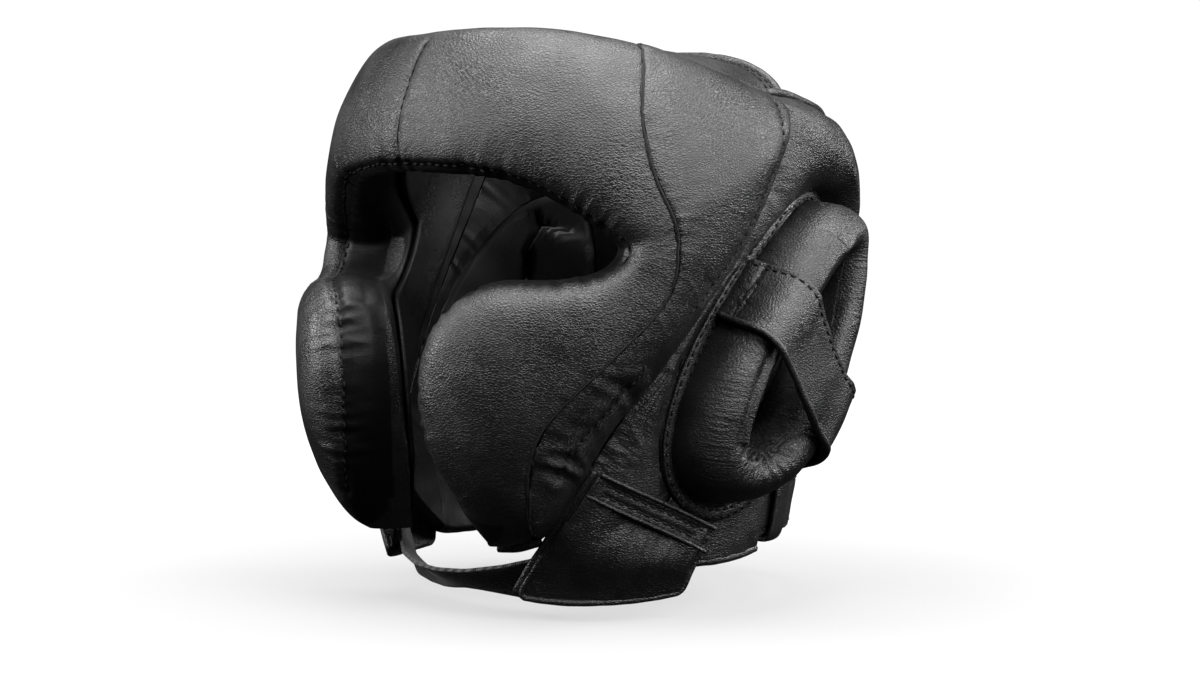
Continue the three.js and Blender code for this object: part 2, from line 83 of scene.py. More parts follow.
bpy.ops.object.select_all(action="DESELECT")
outward = Vector((
    math.sin(CAMERA_TURN) * math.cos(CAMERA_RISE),
    -math.cos(CAMERA_TURN) * math.cos(CAMERA_RISE),
    math.sin(CAMERA_RISE),
))
bpy.ops.object.camera_add(location=outward * CAMERA_DISTANCE)
camera = bpy.context.object
camera.rotation_euler = (-outward).to_track_quat("-Z", "Y").to_euler()
camera.data.sensor_width = CAMERA_SENSOR
camera.data.lens = CAMERA_LENS
camera.data.shift_x = FRAMING_SHIFT
camera.data.clip_start = CAMERA_NEAREST
bpy.context.scene.camera = camera

bpy.ops.mesh.primitive_plane_add(size=FLOOR_SIZE, location=(0, 0, cad_low.z - FLOOR_CLEARANCE))
floor = bpy.context.object
floor.name = "studio_floor"
floor.visible_diffuse = False
floor.visible_glossy = False
paper, paper_nodes, paper_links, paper_surface = new_finish("white_paper")
paper_surface.inputs["Base Color"].default_value = PAPER_COLOUR
paper_surface.inputs["Roughness"].default_value = PAPER_ROUGHNESS
# The paper glows although it is no lamp: painted light, full white from PAPER_FAR out and dimmer towards the
# guard, which paints a wide soft shade on the floor round it.
paper_surface.inputs["Emission Color"].default_value = (1, 1, 1, 1)
paper_place = paper_nodes.new("ShaderNodeTexCoord")
paper_reach = paper_nodes.new("ShaderNodeVectorMath")
paper_reach.operation = "LENGTH"
paper_links.new(paper_place.outputs["Object"], paper_reach.inputs[0])
painted_floor_glow = paper_nodes.new("ShaderNodeMapRange")
painted_floor_glow.interpolation_type = "SMOOTHSTEP"
painted_floor_glow.inputs["From Min"].default_value = PAPER_NEAR
painted_floor_glow.inputs["From Max"].default_value = PAPER_FAR
painted_floor_glow.inputs["To Min"].default_value = PAINTED_GLOW_NEAR
paper_links.new(paper_reach.outputs["Value"], painted_floor_glow.inputs["Value"])
paper_links.new(painted_floor_glow.outputs["Result"], paper_surface.inputs["Emission Strength"])
floor.data.materials.append(paper)

room = bpy.data.worlds.new("studio_room")
room.use_nodes = True
backdrop = room.node_tree.nodes["Background"]
backdrop.inputs["Color"].default_value = (1, 1, 1, 1)
seen = room.node_tree.nodes.new("ShaderNodeLightPath")
level = room.node_tree.nodes.new("ShaderNodeMapRange")
level.inputs["To Min"].default_value = ROOM_LIGHT
level.inputs["To Max"].default_value = BACKDROP_LIGHT
room.node_tree.links.new(seen.outputs["Is Camera Ray"], level.inputs["Value"])
room.node_tree.links.new(level.outputs["Result"], backdrop.inputs["Strength"])
bpy.context.scene.world = room
bpy.context.scene.view_settings.view_transform = "Standard"


def softbox(name, place, width, depth, power):
    """A rectangular light, aimed at the middle of the guard."""
    light = bpy.data.lights.new(name, "AREA")
    light.shape = "RECTANGLE"
    light.size = width
    light.size_y = depth
    light.energy = power
    lamp = bpy.data.objects.new(name, light)
    lamp.location = place
    lamp.rotation_euler = (-Vector(place)).to_track_quat("-Z", "Y").to_euler()
    bpy.context.scene.collection.objects.link(lamp)


softbox("overhead_box", (0.05, -0.1, 1.2), width=1.4, depth=1.4, power=56)
softbox("front_box", (0.3, -1.5, 1.2), width=1.2, depth=0.9, power=16)
softbox("left_box", (-1.1, -1.2, 0.6), width=0.8, depth=0.8, power=29)
softbox("right_box", (1.2, -0.2, 1.0), width=0.8, depth=0.8, power=17)
softbox("right_low_box", (1.6, 0.1, 0.4), width=0.8, depth=0.8, power=9)
softbox("rear_box", (0.9, 1.3, 0.8), width=0.9, depth=0.9, power=33)

# Front pad: one foam block from cheek to cheek over the brow, under pebbled cowhide.
# The hide is cut in two at the middle of the forehead and sewn to the lining round the face opening.
COWHIDE_COLOUR = (0.012, 0.012, 0.0123)
THREAD_COLOUR = (0.004, 0.004, 0.004, 1)
MERGE = 0.00002
PAD_CREASE = 0.55
SEAM_STEP = 0.0015
THREAD_STEP = 0.0016
BATCH = 4000
TURN_SPAN = 6
PUCKER_APART = 0.3
PUCKER_STRETCH = 0.16
FACING_IN = -0.55
LEAST_WALL = 0.003
STITCH_PITCH = 0.0042
STITCH_SIZE = np.array([0.0031, 0.0011, 0.0009])
STITCH_RISE = 0.0002
RIM_HEM = 0.003
RIM_LIFT = 0.0085
CHEEK_LIFT = 0.0045
CHEEK_TOP = 0.045
CHEEK_FADE = 0.03
BROW_TOP = cad_high.z - 0.004
BROW_LOW = 0.072
LINING_TURN = 0.02


def copy_of_solid(name, node, levels, crease=PAD_CREASE, sharp=55):
    """New object in the shape of a node: triangles paired into quads, smoothed between the sharp edges."""
    bpy.ops.object.select_all(action="DESELECT")
    piece = bpy.data.objects.new(name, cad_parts[node].data.copy())
    piece.data.materials.clear()
    bpy.context.scene.collection.objects.link(piece)
    piece.select_set(True)
    bpy.context.view_layer.objects.active = piece
    bpy.ops.mesh.customdata_custom_splitnormals_clear()
    bpy.ops.object.mode_set(mode="EDIT")
    bpy.ops.mesh.select_all(action="SELECT")
    bpy.ops.mesh.remove_doubles(threshold=MERGE)
    bpy.ops.mesh.tris_convert_to_quads(
        face_threshold=math.pi, shape_threshold=math.pi, topology_influence=1.5
    )
    bpy.ops.mesh.select_all(action="DESELECT")
    bpy.ops.mesh.edges_select_sharp(sharpness=math.radians(sharp))
    bpy.ops.transform.edge_crease(value=crease)
    bpy.ops.object.mode_set(mode="OBJECT")
    smooth = piece.modifiers.new("smooth", "SUBSURF")
    smooth.levels = levels
    smooth.render_levels = levels
    bpy.ops.object.modifier_apply(modifier="smooth")
    bpy.ops.object.shade_smooth()
    return piece


def vertex_rows(piece, kind):
    """The place or the normal of every point of a piece, one to a row."""
    values = np.empty(3 * len(piece.data.vertices))
    piece.data.vertices.foreach_get(kind, values)
    return values.reshape(-1, 3)


def points_of(piece):
    return vertex_rows(piece, "co")


def normals_of(piece):
    return vertex_rows(piece, "normal")


def set_points(piece, points):
    piece.data.vertices.foreach_set("co", points.ravel())
    piece.data.update()


def move_out(piece, height):
    """Moves each point along its normal by its own height."""
    set_points(piece, points_of(piece) + normals_of(piece) * height[:, None])


def tree_of(piece):
    """Search tree for the surface of a piece."""
    mesh = piece.data
    return BVHTree.FromPolygons([v.co for v in mesh.vertices], [p.vertices[:] for p in mesh.polygons])


def laid_on(tree, points):
    """The place on a surface that is nearest to each point."""
    return np.array([tree.find_nearest(Vector(p))[0] for p in points])


def unit(rows):
    """The rows at length one."""
    return rows / np.linalg.norm(rows, axis=1)[:, None]


def even_line(points, step):
    """The line with rounded corners and points an even step apart."""
    points = np.asarray(points, float)
    for _ in range(2):
        cut = np.empty((2 * len(points), 3))
        cut[0], cut[-1] = points[0], points[-1]
        cut[1:-1:2] = 0.75 * points[:-1] + 0.25 * points[1:]
        cut[2::2] = 0.25 * points[:-1] + 0.75 * points[1:]
        points = cut
    length = np.r_[0, np.cumsum(np.linalg.norm(np.diff(points, axis=0), axis=1))]
    count = max(round(length[-1] / step), 2)
    at = np.linspace(0, length[-1], count + 1)
    return np.column_stack([np.interp(at, length, points[:, k]) for k in range(3)])


def near_line(points, line, reach):
    """Which points lie within reach of a line, how far from it, and how far along it."""
    close = np.flatnonzero(((points > line.min(0) - reach) & (points < line.max(0) + reach)).all(1))
    step = np.linalg.norm(np.diff(line, axis=0), axis=1).mean()
    heading = unit(np.gradient(line, axis=0))
    away = np.full(len(close), np.inf)
    along = np.zeros(len(close))
    for start in range(0, len(close), BATCH):
        rows = slice(start, start + BATCH)
        part = points[close[rows]]
        square = ((part[:, None] - line[None]) ** 2).sum(2)
        index = square.argmin(1)
        slide = ((part - line[index]) * heading[index]).sum(1)
        away[rows] = np.sqrt(square.min(1))
        along[rows] = index * step + np.clip(slide, -step, step)
    kept = away < reach
    return close[kept], away[kept], along[kept]


def draw_in(piece, line, width, depth):
    """Pulls the leather in along a sewn line, as the thread does."""
    index, away, _ = near_line(points_of(piece), even_line(line, SEAM_STEP), 3 * width)
    height = np.zeros(len(piece.data.vertices))
    height[index] = -depth * np.exp(-((away / width) ** 2))
    move_out(piece, height)


def close_seam(piece, other, reach=0.0013, share=0.42):
    """Draws the edge of a piece towards the solid that it is sewn to."""
    tree = tree_of(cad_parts[other])
    for vertex in piece.data.vertices:
        spot = tree.find_nearest(vertex.co, reach)[0]
        if spot is not None:
            vertex.co += (spot - vertex.co) * share
    piece.data.update()


def gather(piece, line, reach, height, pitch, seed):
    """Small folds that run away from a sewn line and fade where it turns sharply."""
    line = even_line(line, SEAM_STEP)
    index, away, along = near_line(points_of(piece), line, 2.5 * reach)
    count = np.arange(len(line))
    first, last = np.maximum(count - TURN_SPAN, 0), np.minimum(count + TURN_SPAN, len(line) - 1)
    straight = np.linalg.norm(line[last] - line[first], axis=1) / ((last - first) * SEAM_STEP)
    calm = np.interp(along / SEAM_STEP, count, np.clip((straight - 0.6) / 0.35, 0, 1))
    random = np.random.default_rng(seed)
    folds = np.zeros(len(index))
    for share in (1, 0.63, 1.72):
        start, lean = random.uniform(0, 6), random.uniform(-1.2, 1.2)
        turn = math.pi * (along + lean * away * 0.5) / (pitch * share) + start
        folds += 0.5 - np.abs(np.sin(turn)) ** 0.8
    patch = 0.55 + 0.45 * np.sin(2 * math.pi * along / (pitch * 5.3) + random.uniform(0, 6))
    lift = np.zeros(len(piece.data.vertices))
    lift[index] = height * folds * patch * calm * np.exp(-((away / reach) ** 2))
    move_out(piece, lift)


def crumple(piece, size, height, seed):
    """Soft unevenness of hide over foam."""
    shift = Vector((seed * 7.3, seed * 3.1, seed * 5.7))
    lift = [noise.noise(v.co / size + shift) for v in piece.data.vertices]
    move_out(piece, height * np.array(lift))


def mark(piece, label, values):
    """Keeps a number or a vector at each point of a piece, for the finish to read."""
    kind, field = ("FLOAT_VECTOR", "vector") if values.ndim == 2 else ("FLOAT", "value")
    marks = piece.data.attributes.new(label, kind, "POINT")
    marks.data.foreach_set(field, values.astype(np.float32).ravel())


def pucker(piece, seams):
    """Marks how far each point lies along and away from its nearest seam, for the folds of the finish."""
    points = points_of(piece)
    nearest = np.full(len(points), np.inf)
    place = np.zeros((len(points), 3))
    strength = np.zeros(len(points))
    for number, (line, reach, share) in enumerate(seams):
        index, away, along = near_line(points, even_line(line, SEAM_STEP), 2.4 * reach)
        closer = away < nearest[index]
        index, away, along = index[closer], away[closer], along[closer]
        nearest[index] = away
        place[index, 0] = along + PUCKER_APART * number
        place[index, 1] = PUCKER_STRETCH * away
        strength[index] = share * np.exp(-((away / reach) ** 2))
    mark(piece, "pucker_place", place)
    mark(piece, "pucker", strength)


def radial_of(points):
    """The level way out of the head at each point."""
    return unit(points * (1, 1, 0))


def facing_in(piece):
    """Which points of a piece face the head."""
    return (normals_of(piece) * radial_of(points_of(piece))).sum(1) < FACING_IN


def mark_smooth_shaded(piece, inside):
    """Marks the points that are covered in smooth lining leather or lie in a recess; the finish gives them
    painted shade.
    """
    mark(piece, "smooth_shaded_side", inside)


def hide_finish(name, colour, gloss, grain, depth):
    """Black hide: fine pebbles, level creases in patches, folds that run off the seams, uneven gloss, and
    painted shade on the marked inner side.
    """
    material, nodes, links, surface = new_finish(name)
    place = nodes.new("ShaderNodeTexCoord").outputs["Object"]

    def combined(operation, first, second):
        node = nodes.new("ShaderNodeMath")
        node.operation = operation
        for socket, value in zip(node.inputs, (first, second)):
            if isinstance(value, (int, float)):
                socket.default_value = value
            else:
                links.new(value, socket)
        return node.outputs[0]

    def cloud(where, scale, detail, output="Fac"):
        node = nodes.new("ShaderNodeTexNoise")
        node.inputs["Scale"].default_value = scale
        node.inputs["Detail"].default_value = detail
        links.new(where, node.inputs["Vector"])
        return node.outputs[output]

    def ranged(value, low, high, to_low=0.0, to_high=1.0):
        node = nodes.new("ShaderNodeMapRange")
        node.interpolation_type = "SMOOTHSTEP"
        node.inputs["From Min"].default_value = low
        node.inputs["From Max"].default_value = high
        node.inputs["To Min"].default_value = to_low
        node.inputs["To Max"].default_value = to_high
        links.new(value, node.inputs["Value"])
        return node.outputs["Result"]

    def stretched(where, scale):
        node = nodes.new("ShaderNodeMapping")
        node.inputs["Scale"].default_value = scale
        links.new(where, node.inputs["Vector"])
        return node.outputs["Vector"]

    def valleys(where, scale, width):
        middle = combined("SUBTRACT", cloud(where, scale, detail=3), 0.5)
        return ranged(combined("ABSOLUTE", middle, 0.0), 0.0, width)

    def attribute(label, output):
        node = nodes.new("ShaderNodeAttribute")
        node.attribute_name = label
        return node.outputs[output]

    def mixed(first, second, share):
        node = nodes.new("ShaderNodeMix")
        node.data_type = "RGBA"
        node.inputs["A"].default_value = (*first, 1)
        node.inputs["B"].default_value = (*second, 1)
        links.new(share, node.inputs["Factor"])
        return node.outputs["Result"]

    bent = nodes.new("ShaderNodeVectorMath")
    bent.operation = "MULTIPLY_ADD"
    bent.inputs[1].default_value = (0.0016, 0.0016, 0.0016)
    links.new(cloud(place, scale=160, detail=2, output="Color"), bent.inputs[0])
    links.new(place, bent.inputs[2])
    cell = nodes.new("ShaderNodeTexVoronoi")
    cell.feature = "DISTANCE_TO_EDGE"
    cell.inputs["Scale"].default_value = 1 / grain
    links.new(stretched(bent.outputs["Vector"], (1, 1, 1.5)), cell.inputs["Vector"])
    pebble = ranged(cell.outputs["Distance"], 0.0, 0.3)
    patch = ranged(cloud(place, scale=38, detail=2), 0.42, 0.62)
    crease = combined("MULTIPLY", valleys(stretched(place, (1, 1, 2.8)), scale=170, width=0.09), patch)
    fold = valleys(attribute("pucker_place", "Vector"), scale=330, width=0.16)
    fold = combined("MULTIPLY", fold, attribute("pucker", "Fac"))
    pore = cloud(place, scale=2400, detail=2)
    relief = combined("ADD", combined("MULTIPLY", pebble, 0.55), combined("MULTIPLY", pore, 0.12))
    relief = combined("ADD", relief, combined("MULTIPLY", crease, 0.4))
    # The marked inner side is smooth lining leather with less bump; its base colour is also darkened and its
    # reflection dimmed, which is painted shade.
    lining = attribute("smooth_shaded_side", "Fac")
    kept = combined("SUBTRACT", 1.0, combined("MULTIPLY", lining, 0.8))
    relief = combined("MULTIPLY", combined("ADD", relief, combined("MULTIPLY", fold, 1.3)), kept)
    bump = nodes.new("ShaderNodeBump")
    bump.inputs["Strength"].default_value = 0.9
    bump.inputs["Distance"].default_value = depth
    links.new(relief, bump.inputs["Height"])
    links.new(bump.outputs["Normal"], surface.inputs["Normal"])

    mottle = cloud(place, scale=45, detail=4)
    worn = combined("MULTIPLY", combined("SUBTRACT", 1.0, pebble), 0.12)
    uneven = ranged(mottle, 0.3, 0.7, gloss - 0.09, gloss + 0.07)
    links.new(combined("ADD", uneven, worn), surface.inputs["Roughness"])
    # Base colour: darker between the pebbles and in mottled patches, and darker on the marked inner side as
    # painted shade.
    shown = combined("SUBTRACT", 1.0, combined("MULTIPLY", lining, 0.9))
    tone_and_painted_shade = combined("MULTIPLY", combined("MULTIPLY", pebble, mottle), shown)
    links.new(mixed([0.3 * c for c in colour], colour, tone_and_painted_shade), surface.inputs["Base Color"])
    # Painted shade: the specular tint dims the reflection on the marked inner side.
    links.new(mixed((1, 1, 1), (0.2, 0.2, 0.2), lining), surface.inputs["Specular Tint"])
    return material


cowhide = hide_finish("black_cowhide", COWHIDE_COLOUR, gloss=0.38, grain=0.0015, depth=0.00023)


def add_piece(piece, material, nodes=()):
    """Gives a finished piece its material, puts it on the root body and hides the solids that it stands for.
    """
    piece.data.materials.append(material)
    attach(piece, "root")
    if nodes:
        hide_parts(*nodes)


thread, thread_nodes, thread_links, thread_surface = new_finish("black_thread")
strand = thread_nodes.new("ShaderNodeTexNoise")
strand.inputs["Scale"].default_value = 3000
strand_place = thread_nodes.new("ShaderNodeTexCoord")
thread_links.new(strand_place.outputs["Object"], strand.inputs["Vector"])
strand_bump = thread_nodes.new("ShaderNodeBump")
strand_bump.inputs["Distance"].default_value = 0.0002
thread_links.new(strand.outputs["Fac"], strand_bump.inputs["Height"])
thread_links.new(strand_bump.outputs["Normal"], thread_surface.inputs["Normal"])
thread_surface.inputs["Base Color"].default_value = THREAD_COLOUR
thread_surface.inputs["Roughness"].default_value = 0.7
thread_surface.inputs["Specular IOR Level"].default_value = 0.25

bpy.ops.mesh.primitive_uv_sphere_add(segments=6, ring_count=4, radius=0.5)
stitch_points = points_of(bpy.context.object) * STITCH_SIZE
stitch_faces = np.array([[*p.vertices, p.vertices[0]][:4] for p in bpy.context.object.data.polygons])
bpy.ops.object.delete()


def sew(name, rows):
    """Lays a row of stitches on each piece along its line and joins them all in one mesh."""
    points, faces = [], []
    for piece, line in rows:
        tree = tree_of(piece)
        line = even_line(line, STITCH_PITCH)
        for start, end in zip(line[:-1], line[1:]):
            spot, normal, _, _ = tree.find_nearest(Vector((start + end) / 2))
            normal = np.array(normal)
            heading = (end - start) - normal * np.dot(end - start, normal)
            heading /= max(np.linalg.norm(heading), 1e-9)
            turn = np.array([heading, np.cross(normal, heading), normal])
            faces.append(stitch_faces + len(points) * len(stitch_points))
            points.append(stitch_points @ turn + np.array(spot) + normal * STITCH_RISE)
    corners = [[int(v) for v in dict.fromkeys(face)] for face in np.concatenate(faces)]
    mesh = bpy.data.meshes.new(name)
    mesh.from_pydata(np.concatenate(points).tolist(), [], corners)
    stitches = bpy.data.objects.new(name, mesh)
    bpy.context.scene.collection.objects.link(stitches)
    for polygon in mesh.polygons:
        polygon.use_smooth = True
    add_piece(stitches, thread)


def sewn_edge(node, other, reach=0.0016):
    """Outer edge of a solid along its neighbour, from the top down, and the way out of the head there."""
    tree = tree_of(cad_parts[other])
    levels = {}
    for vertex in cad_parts[node].data.vertices:
        if tree.find_nearest(vertex.co)[3] < reach:
            levels.setdefault(round(vertex.co.z, 5), []).append(np.array(vertex.co))
    edge, way = [], []
    for height in sorted(levels, reverse=True):
        row = sorted(levels[height], key=lambda p: math.hypot(p[0], p[1]))
        if np.linalg.norm(row[-1] - row[0]) > LEAST_WALL:
            edge.append(row[-1])
            way.append((row[-1] - row[0]) / np.linalg.norm(row[-1] - row[0]))
    return np.array(edge), np.array(way)


def rim_of(node, hem):
    """Points round a rim in order, and the way out there: its level edges are as long as the hem is thick."""
    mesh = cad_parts[node].data
    found = {}
    for polygon in mesh.polygons:
        corners = [mesh.vertices[i].co for i in polygon.vertices]
        for a, b in zip(corners, corners[1:] + corners[:1]):
            if abs(a.z - b.z) < MERGE and abs((a - b).length - hem) < MERGE:
                inner, outer = sorted((a, b), key=lambda p: math.hypot(p.x, p.y))
                found[tuple(round(c, 4) for c in (a + b) / 2)] = (inner, outer)
    rest = list(found.values())
    chain = [max(rest, key=lambda pair: pair[0].x - 2 * pair[0].z)]
    while len(chain) < len(rest):
        left = [pair for pair in rest if pair not in chain]
        chain.append(min(left, key=lambda pair: (pair[0] - chain[-1][0]).length))
    points = np.array([(inner + outer) / 2 for inner, outer in chain])
    way = np.array([(outer - inner).normalized() for inner, outer in chain])
    return points, way


front_pad = copy_of_solid("front_pad_hide", "front_pad", levels=3)
front_tree = tree_of(front_pad)
rim, rim_way = rim_of("front_pad", RIM_HEM)
cheek = np.clip((CHEEK_TOP - rim[:, 2]) / CHEEK_FADE, 0, 1)[:, None]
rim_seam = laid_on(front_tree, rim + rim_way * (RIM_LIFT + CHEEK_LIFT * cheek))
brow_heights = np.linspace(BROW_TOP, BROW_LOW, 24)
brow_hits = [front_tree.ray_cast(Vector((0, -0.3, z)), Vector((0, 1, 0)))[0] for z in brow_heights]
brow_seam = np.array([spot for spot in brow_hits if spot is not None])
side_seams = {side: sewn_edge(f"temple_pad_{side}", "front_pad")[0] for side in ("left", "right")}
for side in side_seams:
    close_seam(front_pad, f"temple_pad_{side}")
crumple(front_pad, size=0.034, height=0.0008, seed=1)
crumple(front_pad, size=0.012, height=0.00025, seed=2)
draw_in(front_pad, rim_seam, width=0.0022, depth=0.0016)
draw_in(front_pad, brow_seam, width=0.0016, depth=0.0011)
gather(front_pad, rim_seam, reach=0.01, height=0.0008, pitch=0.009, seed=3)
for line in side_seams.values():
    draw_in(front_pad, line, width=0.0016, depth=0.0003)
    gather(front_pad, line, reach=0.008, height=0.00018, pitch=0.007, seed=4)
rim_points = even_line(rim_seam, 0.002)
pad_points = points_of(front_pad)
inside = facing_in(front_pad)
close, _, _ = near_line(pad_points, rim_points, LINING_TURN)
nearest = np.array([((rim_points - p) ** 2).sum(1).argmin() for p in pad_points[close]])
from_rim = pad_points[close] - rim_points[nearest]
inside[close] |= (from_rim * radial_of(pad_points[close])).sum(1) < 0
mark_smooth_shaded(front_pad, inside)
quiet_seams = [(line, 0.008, 0.16) for line in (brow_seam, *side_seams.values())]
pucker(front_pad, [(rim_seam, 0.01, 0.45), *quiet_seams])
add_piece(front_pad, cowhide, ["front_pad"])
sew("brow_stitches", [(front_pad, rim_seam), (front_pad, brow_seam[:len(brow_seam) * 3 // 5])])


def tube_along(name, points, radius, roundness):
    """A thin tube along a line, closed at both ends."""
    bpy.ops.object.select_all(action="DESELECT")
    curve = bpy.data.curves.new(name, "CURVE")
    curve.dimensions = "3D"
    curve.bevel_depth = radius
    curve.bevel_resolution = roundness
    curve.use_fill_caps = True
    spline = curve.splines.new("POLY")
    spline.points.add(len(points) - 1)
    spline.points.foreach_set("co", np.column_stack([points, np.ones(len(points))]).ravel())
    tube = bpy.data.objects.new(name, curve)
    bpy.context.scene.collection.objects.link(tube)
    tube.select_set(True)
    bpy.context.view_layer.objects.active = tube
    bpy.ops.object.convert(target="MESH")
    bpy.ops.object.shade_smooth()
    return tube


def lay_thread(name, piece, line, radius):
    """A continuous line of thread sunk in a flush seam."""
    points = laid_on(tree_of(piece), even_line(line, THREAD_STEP))
    add_piece(tube_along(name, points, radius, roundness=1), thread)


lay_thread("brow_thread", front_pad, brow_seam, radius=0.00035)
for side, line in side_seams.items():
    lay_thread(f"side_seam_thread_{side}", front_pad, line, radius=0.0006)

# Face lining: smooth lining leather glued inside the front pad.
# It is turned under the rim of the face opening and sewn through it.
LINING_COLOUR = (0.009, 0.009, 0.0092)
LINING_SHINE = 0.15
lining_leather = hide_finish("lining_leather", LINING_COLOUR, gloss=0.3, grain=0.0009, depth=0.0001)
lining_surface = lining_leather.node_tree.nodes["Principled BSDF"]
# The lining is black leather, but its colour is set a little darker than the cowhide and its specular level
# low, so that the inside of the guard stays dark: partly painted shade.
lining_surface.inputs["Specular IOR Level"].default_value = LINING_SHINE
lining = copy_of_solid("face_lining", "front_lining", levels=2, crease=0.45)
crumple(lining, size=0.02, height=0.0004, seed=11)
add_piece(lining, lining_leather, ["front_lining"])

# Temple pads: a foam wedge on each side under one panel of cowhide, sewn to the front pad along a curved
# seam and to the side panel behind along a row of long stitches. Its lower strip puckers where it narrows.
SEAM_OUT = 0.013
SEAM_FORWARD = 0.015
NARROW_TOP = -0.012
rear_seams = {}
for seed, side in ((21, "left"), (22, "right")):
    temple = copy_of_solid(f"temple_pad_hide_{side}", f"temple_pad_{side}", levels=3)
    edge, way = sewn_edge(f"temple_pad_{side}", f"side_panel_{side}", reach=0.003)
    rear_seams[side] = edge
    forward = np.cross(np.gradient(edge, axis=0), way)
    forward *= np.sign(-forward[:, 1:2]) / np.linalg.norm(forward, axis=1)[:, None]
    stitch_line = laid_on(tree_of(temple), edge + way * SEAM_OUT + forward * SEAM_FORWARD)
    narrow = stitch_line[stitch_line[:, 2] < NARROW_TOP]
    close_seam(temple, "front_pad")
    crumple(temple, size=0.03, height=0.0008, seed=seed)
    crumple(temple, size=0.011, height=0.0003, seed=seed + 2)
    draw_in(temple, side_seams[side], width=0.0016, depth=0.0003)
    draw_in(temple, stitch_line, width=0.0018, depth=0.0013)
    gather(temple, stitch_line, reach=0.01, height=0.0003, pitch=0.008, seed=seed + 4)
    gather(temple, narrow, reach=0.016, height=0.0017, pitch=0.011, seed=seed + 8)
    gather(temple, side_seams[side], reach=0.008, height=0.00025, pitch=0.007, seed=seed + 6)
    pucker(temple, [(side_seams[side], 0.008, 0.16), (narrow, 0.016, 0.4), (stitch_line, 0.012, 0.3)])
    mark_smooth_shaded(temple, facing_in(temple))
    add_piece(temple, cowhide, [f"temple_pad_{side}"])
    sew(f"temple_stitches_{side}", [(temple, stitch_line)])

# Side panels: thinner padded cowhide round the ear, from under the cheek up and back to the rear.
# The front edge is sewn under the temple pad.
side_panels = {}
for seed, side in ((31, "left"), (32, "right")):
    panel = copy_of_solid(f"side_panel_hide_{side}", f"side_panel_{side}", levels=3)
    close_seam(panel, f"ear_base_{side}", reach=0.005, share=0.85)
    close_seam(panel, f"rear_binding_{side}", reach=0.003, share=0.9)
    crumple(panel, size=0.026, height=0.001, seed=seed)
    crumple(panel, size=0.01, height=0.0004, seed=seed + 2)
    gather(panel, rear_seams[side], reach=0.016, height=0.0006, pitch=0.008, seed=seed + 4)
    low_seam = rear_seams[side][rear_seams[side][:, 2] < 0]
    pucker(panel, [(low_seam, 0.022, 0.55), (rear_seams[side], 0.014, 0.25)])
    mark_smooth_shaded(panel, facing_in(panel))
    add_piece(panel, cowhide, [f"side_panel_{side}"])
    side_panels[side] = panel

# Ear bases: a flat padded oval with the ear hole, sewn in behind the side panel.
# The foam round the hole swells, so that the hole is a narrow slit.
EAR_BACK = 0.015
EAR_HEIGHT = -0.003
EAR_LEAN = math.radians(30)
EAR_LONG = 0.0555
EAR_SHORT = 0.0185
EAR_TAPER = 0.35
TUBE_HALF = 0.0135
INNER_RIM = 0.7 * TUBE_HALF
HOLE_HALF = 0.011
HOLE_SWELL = 0.009
HOLE_SLIT = 0.0035
HOLE_MARGIN = 0.001
HOLE_REACH = 1.2


def ear_oval(turns, grow):
    """Points in the side view, as (distance behind, height), round the ear at clock turns from the top."""
    turns = np.radians(turns)
    across = (EAR_SHORT * (1 - EAR_TAPER * np.cos(turns)) + grow) * np.sin(turns)
    up = (EAR_LONG + grow) * np.cos(turns)
    back = EAR_BACK + across * math.cos(EAR_LEAN) + up * math.sin(EAR_LEAN)
    return np.column_stack([back, EAR_HEIGHT - across * math.sin(EAR_LEAN) + up * math.cos(EAR_LEAN)])


def ear_place(points):
    """How far points lie across the ear's long axis, and how far up it as a share of the inner rim."""
    back, rise = points[:, 1] - EAR_BACK, points[:, 2] - EAR_HEIGHT
    across = back * math.cos(EAR_LEAN) - rise * math.sin(EAR_LEAN)
    up = (back * math.sin(EAR_LEAN) + rise * math.cos(EAR_LEAN)) / (EAR_LONG - INNER_RIM)
    return across, up


def in_hole(points):
    """Which points lie inside the upper half of the ring's inner rim, as seen from the side."""
    across, up = ear_place(points)
    half = np.maximum(EAR_SHORT * (1 - EAR_TAPER * up) - INNER_RIM, HOLE_HALF + HOLE_MARGIN)
    return (up > 0.1) & (up < 1) & (abs(across) < half * np.sqrt(np.clip(1 - up ** 2, 0, 1)))


ear_bases = {}
for seed, side in ((41, "left"), (42, "right")):
    base = copy_of_solid(f"ear_base_hide_{side}", f"ear_base_{side}", levels=2)
    points = points_of(base)
    across, up = ear_place(points)
    share = np.clip((abs(across) - HOLE_HALF) / HOLE_SWELL, 0, 1)
    shift = np.where(abs(up) < HOLE_REACH, np.sign(across) * (HOLE_SLIT - HOLE_HALF) * (1 - share), 0)
    set_points(base, points + shift[:, None] * np.array((0, math.cos(EAR_LEAN), -math.sin(EAR_LEAN))))
    crumple(base, size=0.02, height=0.0004, seed=seed)
    # The inner faces are lining; the walls of the hole are marked too, so that the finish paints shade into
    # the slit.
    mark_smooth_shaded(base, facing_in(base) | in_hole(points_of(base)))
    add_piece(base, cowhide, [f"ear_base_{side}"])
    ear_bases[side] = base

# Ear rings: a stuffed tube of cowhide round the ear hole, sewn down on the base.
# The hide is gathered round the lower end of the hole and has a fold down the front of the tube.
RING_KEPT = 0.75
FOLD_VALLEY = (0, -0.0032, -0.001)


def dropped(places, trees, mirror):
    """Points where places in the side view fall on the outermost of some pieces, and the normals there."""
    points, normals = [], []
    for back, height in places:
        start = Vector((mirror * 0.2, back, height))
        hits = [tree.ray_cast(start, Vector((-mirror, 0, 0))) for tree in trees]
        hits = [hit for hit in hits if hit[0] is not None and hit[0].x * mirror > 0]
        if hits:
            spot, normal, _, _ = max(hits, key=lambda hit: hit[0].x * mirror)
            points.append(spot)
            normals.append(normal)
    return np.array(points), np.array(normals)


